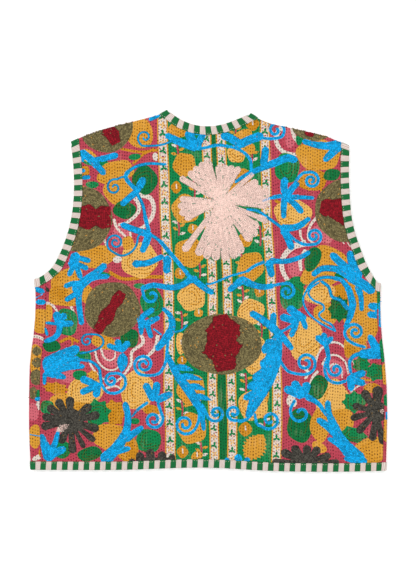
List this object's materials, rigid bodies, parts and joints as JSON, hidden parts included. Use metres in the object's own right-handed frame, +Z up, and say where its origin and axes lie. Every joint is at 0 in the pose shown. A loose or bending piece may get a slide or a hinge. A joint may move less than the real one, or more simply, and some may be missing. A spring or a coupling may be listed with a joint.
{
  "type": "embroidered waistcoat",
  "caption": "Sleeveless quilted waistcoat laid flat with its back up, with folded tape binding round the neck, fronts, armholes and hem.",
  "frame": {"origin": "on the surface that the garment lies on, under the middle of its outline", "axes": "+X to the right as seen with the neck away from the viewer, +Y from the hem to the neck, +Z up from the surface"},
  "size_m": [0.5727, 0.5782, 0.0097],
  "materials": {
    "quilted_back": "matte printed cotton, hand quilted and embroidered",
    "quilted_fronts": "matte printed cotton, hand quilted and embroidered",
    "striped_tape": "matte cotton, striped green and off-white"
  },
  "bodies": {
    "root": {"back_panel": "quilted_back", "front_left": "quilted_fronts", "front_right": "quilted_fronts", "neck_binding": "striped_tape", "front_binding_left": "striped_tape", "front_binding_right": "striped_tape", "armhole_binding_left": "striped_tape", "armhole_binding_right": "striped_tape", "hem_binding": "striped_tape"}
  },
  "joints": []
}
